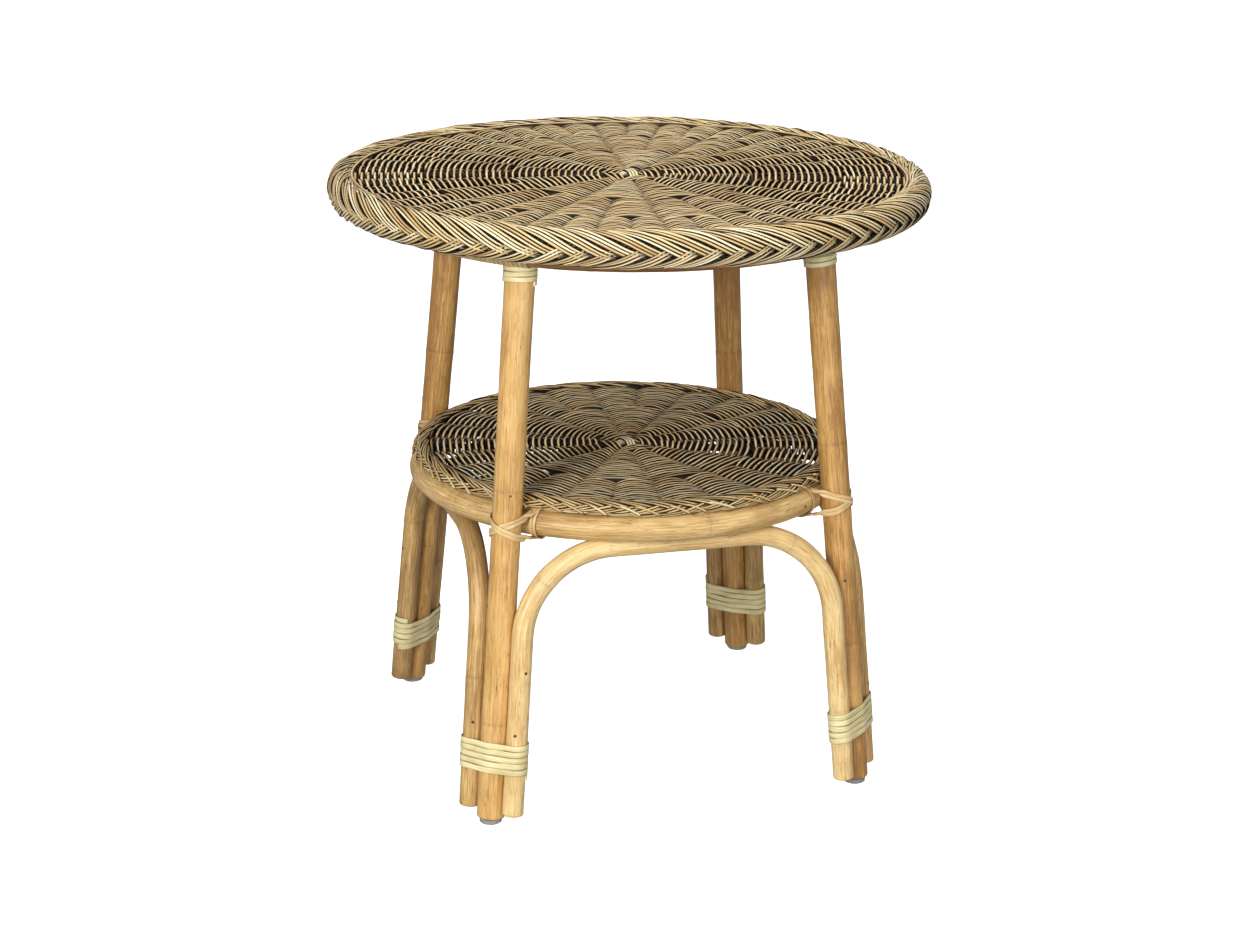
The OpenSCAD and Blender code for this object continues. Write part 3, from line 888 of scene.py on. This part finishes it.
class Surface:
    """A procedural material under construction."""

    def __init__(self, name):
        self.material = bpy.data.materials.new(name)
        self.material.use_nodes = True
        self.tree = self.material.node_tree
        self.shader = self.tree.nodes["Principled BSDF"]

    def node(self, kind, settings=None, **inputs):
        """Adds a node. An input that is a socket is linked, and any other is a value."""
        made = self.tree.nodes.new(kind)
        for key, value in (settings or {}).items():
            setattr(made, key, value)
        for key, value in inputs.items():
            socket = made.inputs[int(key[1:])] if key[1:].isdigit() else made.inputs[key]
            self.feed(socket, value)
        return made

    def feed(self, socket, value):
        if isinstance(value, bpy.types.NodeSocket):
            self.tree.links.new(value, socket)
        else:
            socket.default_value = value

    def attribute(self, name):
        return self.node("ShaderNodeAttribute", {"attribute_name": name})

    def scaled(self, vector, scale):
        made = self.node("ShaderNodeVectorMath", {"operation": "MULTIPLY"}, _0=vector, _1=scale)
        return made.outputs[0]

    def noise(self, vector, detail=3.0, rough=0.6):
        made = self.node("ShaderNodeTexNoise", Vector=vector, Scale=1.0, Detail=detail)
        made.inputs["Roughness"].default_value = rough
        return made.outputs["Fac"]

    def math(self, operation, a, b):
        made = self.node("ShaderNodeMath", {"operation": operation}, _0=a, _1=b)
        return made.outputs[0]

    def weighted(self, *shares):
        """Sum of (value, weight) pairs."""
        total = None
        for value, weight in shares:
            part = self.math("MULTIPLY", value, weight)
            total = part if total is None else self.math("ADD", total, part)
        return total

    def remap(self, value, low, high, to_low, to_high):
        made = self.node(
            "ShaderNodeMapRange", {"clamp": True}, _0=value, _1=low, _2=high, _3=to_low, _4=to_high
        )
        return made.outputs[0]

    def ramp(self, value, stops):
        made = self.node("ShaderNodeValToRGB", Fac=value)
        elements = made.color_ramp.elements
        while len(elements) < len(stops):
            elements.new(0.5)
        for element, (position, colour) in zip(elements, stops):
            element.position = position
            element.color = linear(colour)
        return made.outputs[0]

    def mix(self, share, a, b, blend="MIX"):
        made = self.node("ShaderNodeMix", {"data_type": "RGBA", "blend_type": blend})
        self.feed(made.inputs[0], share)
        self.feed(made.inputs[6], a)
        self.feed(made.inputs[7], b)
        return made.outputs[2]

    def bump(self, height, depth):
        made = self.node("ShaderNodeBump", Height=height, Distance=depth)
        made.inputs["Strength"].default_value = 1.0
        self.tree.links.new(made.outputs[0], self.shader.inputs["Normal"])


def linear(colour):
    """Linear colour, with its alpha, from 0 to 255 display values."""
    values = [c / 255 for c in colour]
    return (*[c / 12.92 if c <= 0.04045 else ((c + 0.055) / 1.055) ** 2.4 for c in values], 1)


def pole_material(name, dark, middling, light, stain):
    """Peeled rattan pole: long fine streaks, blotches, dark pores and grimy nodes."""
    surface = Surface(name)
    grain = surface.attribute("grain").outputs["Vector"]
    shade = surface.attribute("shade").outputs["Fac"]
    tone = surface.attribute("tone").outputs["Fac"]
    broad = surface.noise(surface.scaled(grain, (420, 420, 9)), 4)
    fine = surface.noise(surface.scaled(grain, (1100, 1100, 50)), 3)
    blotch = surface.noise(surface.scaled(grain, (30, 30, 14)), 4)
    level = surface.weighted((broad, 0.26), (fine, 0.38), (blotch, 0.36))
    level = surface.math("ADD", level, surface.remap(tone, 0, 1, -0.12, 0.12))
    colour = surface.ramp(level, [(0.38, dark), (0.50, middling), (0.62, light)])
    pores = surface.noise(surface.scaled(grain, (1000, 1000, 110)), 2)
    patches = surface.noise(surface.scaled(grain, (60, 60, 20)), 2)
    specks = surface.math(
        "MULTIPLY", surface.remap(pores, 0.60, 0.69, 0, 1), surface.remap(patches, 0.45, 0.62, 0.1, 1)
    )
    colour = surface.mix(surface.math("MULTIPLY", specks, 0.65), colour, linear(stain))
    worn = surface.math("MULTIPLY", shade, surface.remap(broad, 0.35, 0.6, 1.0, 0.55))
    colour = surface.mix(worn, colour, linear(stain))
    surface.feed(surface.shader.inputs["Base Color"], colour)
    surface.feed(surface.shader.inputs["Roughness"], surface.remap(fine, 0.3, 0.7, 0.36, 0.56))
    surface.shader.inputs["Specular IOR Level"].default_value = 0.45
    relief = surface.math("SUBTRACT", surface.math("MULTIPLY", fine, 0.7), specks)
    surface.bump(relief, 0.00022)
    return surface.material


def strand_material(name, dark, middling, light, shade_colour, roughness):
    """Thin rattan core: its own tone a rod, streaks along it, and painted shade where its shade
    attribute rises.
    """
    surface = Surface(name)
    grain = surface.attribute("grain").outputs["Vector"]
    shade = surface.attribute("shade").outputs["Fac"]
    tone = surface.attribute("tone").outputs["Fac"]
    streaks = surface.noise(surface.scaled(grain, (1100, 1100, 35)), 3)
    stretches = surface.noise(surface.scaled(grain, (40, 40, 22)), 2)
    level = surface.weighted((tone, 0.50), (streaks, 0.34), (stretches, 0.16))
    colour = surface.ramp(level, [(0.34, dark), (0.50, middling), (0.66, light)])
    # Painted shade: the shade attribute, broken up by the streaks, mixes in the shade colour.
    painted_shade = surface.math("ADD", shade, surface.remap(streaks, 0.3, 0.7, -0.22, 0.22))
    painted_shade = surface.math("ADD", painted_shade, surface.remap(stretches, 0.3, 0.7, -0.12, 0.12))
    colour = surface.mix(surface.remap(painted_shade, 0.15, 0.85, 0, 1), colour, linear(shade_colour))
    surface.feed(surface.shader.inputs["Base Color"], colour)
    rough = surface.remap(painted_shade, 0.0, 1.0, roughness, roughness + 0.25)
    surface.feed(surface.shader.inputs["Roughness"], rough)
    surface.shader.inputs["Specular IOR Level"].default_value = 0.4
    surface.bump(streaks, 0.00018)
    return surface.material


def cane_material(name, dark, middling, light):
    """Flat binding cane: pale and glossy, with faint fibres along it, and painted shade along its
    edges.
    """
    surface = Surface(name)
    grain = surface.attribute("grain").outputs["Vector"]
    shade = surface.attribute("shade").outputs["Fac"]
    fibres = surface.noise(surface.scaled(grain, (1600, 1600, 30)), 3)
    blotch = surface.noise(surface.scaled(grain, (60, 60, 30)), 3)
    level = surface.weighted((fibres, 0.5), (blotch, 0.5))
    colour = surface.ramp(level, [(0.34, dark), (0.5, middling), (0.66, light)])
    # Painted shade along the strip's edges, in the cane's shade colour.
    colour = surface.mix(surface.math("MULTIPLY", shade, 0.85), colour, linear(CANE_EDGE_SHADE))
    surface.feed(surface.shader.inputs["Base Color"], colour)
    surface.feed(surface.shader.inputs["Roughness"], surface.remap(fibres, 0.3, 0.7, 0.32, 0.5))
    surface.bump(fibres, 0.00012)
    return surface.material


def solid_material(name, dark, light, scale, roughness, metallic=0.0):
    """A carried-over CAD piece: mottled by its place in the table's own coordinates."""
    surface = Surface(name)
    place_in = surface.node("ShaderNodeTexCoord").outputs["Object"]
    coarse = surface.noise(surface.scaled(place_in, scale), 4)
    fine = surface.noise(surface.scaled(place_in, tuple(6 * s for s in scale)), 2)
    level = surface.weighted((coarse, 0.65), (fine, 0.35))
    colour = surface.ramp(level, [(0.35, dark), (0.65, light)])
    surface.feed(surface.shader.inputs["Base Color"], colour)
    rough = surface.remap(fine, 0.3, 0.7, roughness - 0.08, roughness + 0.1)
    surface.feed(surface.shader.inputs["Roughness"], rough)
    surface.shader.inputs["Metallic"].default_value = metallic
    surface.bump(fine, 0.0001)
    return surface.material


def paint(nodes, material, *names):
    """Gives carried-over CAD nodes a procedural material."""
    for name in names:
        slots = nodes[name].data.materials
        slots.clear()
        slots.append(material)


# ---- Studio ----


def studio_floor(z):
    """A white floor that doesn't light the table, so that the poles keep their shading."""
    half = FLOOR_HALF
    mesh = bpy.data.meshes.new("floor")
    corners = [(-half, -half, z), (half, -half, z), (half, half, z), (-half, half, z)]
    mesh.from_pydata(corners, [], [(0, 1, 2, 3)])
    floor = bpy.data.objects.new("floor", mesh)
    bpy.context.scene.collection.objects.link(floor)
    surface = Surface("floor_paper")
    surface.shader.inputs["Base Color"].default_value = (0.9, 0.9, 0.9, 1)
    surface.shader.inputs["Roughness"].default_value = 0.9
    surface.shader.inputs["Emission Color"].default_value = (1, 1, 1, 1)
    surface.shader.inputs["Emission Strength"].default_value = FLOOR_GLOW
    mesh.materials.append(surface.material)
    floor.visible_diffuse = False
    floor.visible_glossy = False


def studio(floor_z):
    """Pale floor, soft lights and the camera."""
    studio_floor(floor_z)
    world = bpy.data.worlds.new("studio")
    world.use_nodes = True
    world.node_tree.nodes["Background"].inputs["Color"].default_value = (1, 1, 1, 1)
    world.node_tree.nodes["Background"].inputs["Strength"].default_value = WORLD_STRENGTH
    bpy.context.scene.world = world
    bpy.context.scene.view_settings.view_transform = "Standard"
    softbox("key", (-1.9, -2.2, 1.4), 0.8, 64)
    softbox("overhead", (0.1, -0.6, 2.8), 1.0, 30)
    softbox("front", (0.1, -3.0, 0.70), 1.0, 31)
    camera()


def softbox(name, place_at, size, watts):
    """A square soft light at a point, turned to the table's middle."""
    lamp = bpy.data.lights.new(name, "AREA")
    lamp.energy = watts
    lamp.size = size
    light = bpy.data.objects.new(name, lamp)
    light.location = place_at
    light.rotation_euler = (LIGHTS_AIM - Vector(place_at)).to_track_quat("-Z", "Y").to_euler()
    bpy.context.scene.collection.objects.link(light)


def camera():
    """Eye half a metre above the top, in front, 16 degrees to the left of the front arch."""
    lens = bpy.data.cameras.new("camera")
    lens.sensor_width = SENSOR_WIDTH
    lens.lens = FOCAL_LENGTH
    eye = bpy.data.objects.new("camera", lens)
    eye.location = EYE
    look = Matrix.Rotation(EYE_TURN, 4, "Z")
    look = look @ Matrix.Rotation(math.pi / 2 - EYE_PITCH, 4, "X")
    look = look @ Matrix.Rotation(EYE_ROLL, 4, "Z")
    eye.rotation_euler = look.to_euler()
    bpy.context.scene.collection.objects.link(eye)
    bpy.context.scene.camera = eye


# ---- The table ----


def top_disc(wicker, shaded_stick_wicker, braid_wicker):
    """The woven top: its weave and sticks, the cross in its middle, its border and plain rows."""
    zones = [(SLATH_RADIUS, 4), (SPOKES_START, SPOKES), (FIRST_SPLIT, 24), (SECOND_SPLIT, 48)]
    splits = [(FIRST_SPLIT, SPOKES, TOP_TURN), (SECOND_SPLIT, 24, TOP_TURN + TAU / 48)]
    low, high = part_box("top_weave")
    reach = high.x + 0.002
    weave("top_weave_rods", wicker, "top_wicker", "top_weave", 21, TOP_TURN, zones, splits,
          reach, 0.050)
    sticks("top_sticks", shaded_stick_wicker, "top_stakes", 22, TOP_TURN, SPOKES,
           [FIRST_SPLIT, SECOND_SPLIT], reach + 0.006, 2)
    slath("top_slath", wicker, "top_wicker", TOP_TURN, high.z)
    top_braid(braid_wicker, shaded_stick_wicker)
    # Painted shade: on the flanks of the rim rows, and over all but the undersides of the rows under
    # the splits.
    plain_rows("top_rim_rows", wicker, "top_wicker", 43, high.z - WEAVER_D / 2, reach + 0.001,
               reach + 0.010, painted_flank_shade(ROD_SIDES, 0.9))
    for number, split in enumerate((FIRST_SPLIT, SECOND_SPLIT), 1):
        plain_rows(f"top_under_rows_{number}", shaded_stick_wicker, "wicker_stake", 44 + number,
                   low.z + WEAVER_D / 2, split - 0.006, split + SPLIT_REACH,
                   painted_deep_shade(ROD_SIDES, 1.0))


def shelf_disc(wicker, shaded_stick_wicker, plait_wicker):
    """The woven shelf, made like the top but with one split and a plaited border."""
    zones = [(SLATH_RADIUS, 4), (SPOKES_START, SPOKES), (SHELF_SPLIT, 24)]
    splits = [(SHELF_SPLIT, SPOKES, SHELF_TURN)]
    low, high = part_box("shelf_weave")
    reach = high.x
    weave("shelf_weave_rods", wicker, "shelf_wicker", "shelf_weave", 23, SHELF_TURN, zones,
          splits, reach, 0.060)
    sticks("shelf_sticks", shaded_stick_wicker, "shelf_stakes", 24, SHELF_TURN, SPOKES, [SHELF_SPLIT],
           reach + 0.004, 3)
    # Painted shade over all but the undersides of the rows under the split.
    plain_rows("shelf_under_rows", shaded_stick_wicker, "wicker_stake", 48, low.z + WEAVER_D / 2,
               *SHELF_UNDER_ROWS, painted_deep_shade(ROD_SIDES, 1.0))
    slath("shelf_slath", wicker, "shelf_wicker", SHELF_TURN, high.z)
    shelf_braid(plait_wicker, shaded_stick_wicker)


def main():
    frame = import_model()
    cad_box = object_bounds()
    nodes = frame["nodes"]

    leg_wood = pole_material(
        "leg_rattan", (160, 114, 60), (206, 161, 94), (228, 190, 126), (70, 42, 20)
    )
    arch_wood = pole_material(
        "arch_rattan", (154, 118, 70), (208, 170, 108), (240, 212, 154), (74, 50, 28)
    )
    hoop_wood = pole_material(
        "hoop_rattan", (104, 66, 34), (138, 92, 50), (168, 120, 70), (52, 30, 14)
    )
    # The last colour of each wicker material is its painted shade colour.
    top_wicker = strand_material(
        "top_wicker", (188, 146, 90), (234, 200, 142), (255, 242, 200),
        (16, 9, 5), 0.34,
    )
    braid_wicker = strand_material(
        "braid_wicker", (168, 128, 76), (216, 184, 126), (250, 234, 192),
        (16, 9, 5), 0.32,
    )
    # Painted light: the shelf's wicker is a lighter copy of the top's, to make up for the shade that
    # the top casts on it.
    shelf_wicker = strand_material(
        "shelf_wicker", (200, 154, 100), (255, 222, 160), (255, 248, 212),
        (16, 10, 6), 0.42,
    )
    plait_wicker = strand_material(
        "plait_wicker", (160, 120, 72), (206, 170, 112), (232, 208, 156),
        (20, 12, 6), 0.45,
    )
    # Painted shade: a darker copy of the wicker for the sticks, the rows under the splits and the
    # braid cores, which lie in shade deep in the weave.
    shaded_stick_wicker = strand_material(
        "shaded_stick_wicker", (122, 92, 58), (148, 114, 74), (172, 136, 92),
        (40, 26, 15), 0.6,
    )
    cane = cane_material("binding_cane", (194, 176, 120), (226, 212, 158), (243, 233, 190))
    tan_cane = cane_material("lashing_cane", (172, 134, 82), (210, 176, 118), (234, 208, 156))

    legs(leg_wood)
    arches(arch_wood)
    bent_ring("shelf_ring", "shelf_ring_pole", leg_azimuth(2), 11, arch_wood, "arch_pole")
    bent_ring("top_hoop", "top_hoop_pole", WRAP_START + WRAP_SPAN / 2, 12, hoop_wood, "hoop_pole")
    top_disc(top_wicker, shaded_stick_wicker, braid_wicker)
    shelf_disc(shelf_wicker, shaded_stick_wicker, plait_wicker)

    base_bindings(cane)
    top_bindings(cane)
    shelf_lashings(tan_cane)
    hoop_wrapping(tan_cane)

    slat_wood = solid_material(
        "slat_wood", (122, 90, 52), (172, 134, 86), (4, 160, 160), 0.7
    )
    plastic = solid_material(
        "glide_plastic", (120, 122, 120), (160, 162, 158), (400, 400, 400), 0.5
    )
    steel = solid_material(
        "dull_steel", (64, 52, 44), (110, 96, 84), (900, 900, 900), 0.45, 0.6
    )
    nail_marks(steel)
    paint(nodes, slat_wood, "top_slat_1", "top_slat_2", "top_slat_3")
    paint(nodes, plastic, *[f"glide_{i}" for i in range(1, LEGS + 1)])
    paint(nodes, steel, "hoop_screws", "ring_screws", "foot_nails", "arch_nails", "slat_nails",
          "lashing_tacks", "top_pins", "shelf_pins", "glide_nails")

    studio(cad_box[0].z)


main()
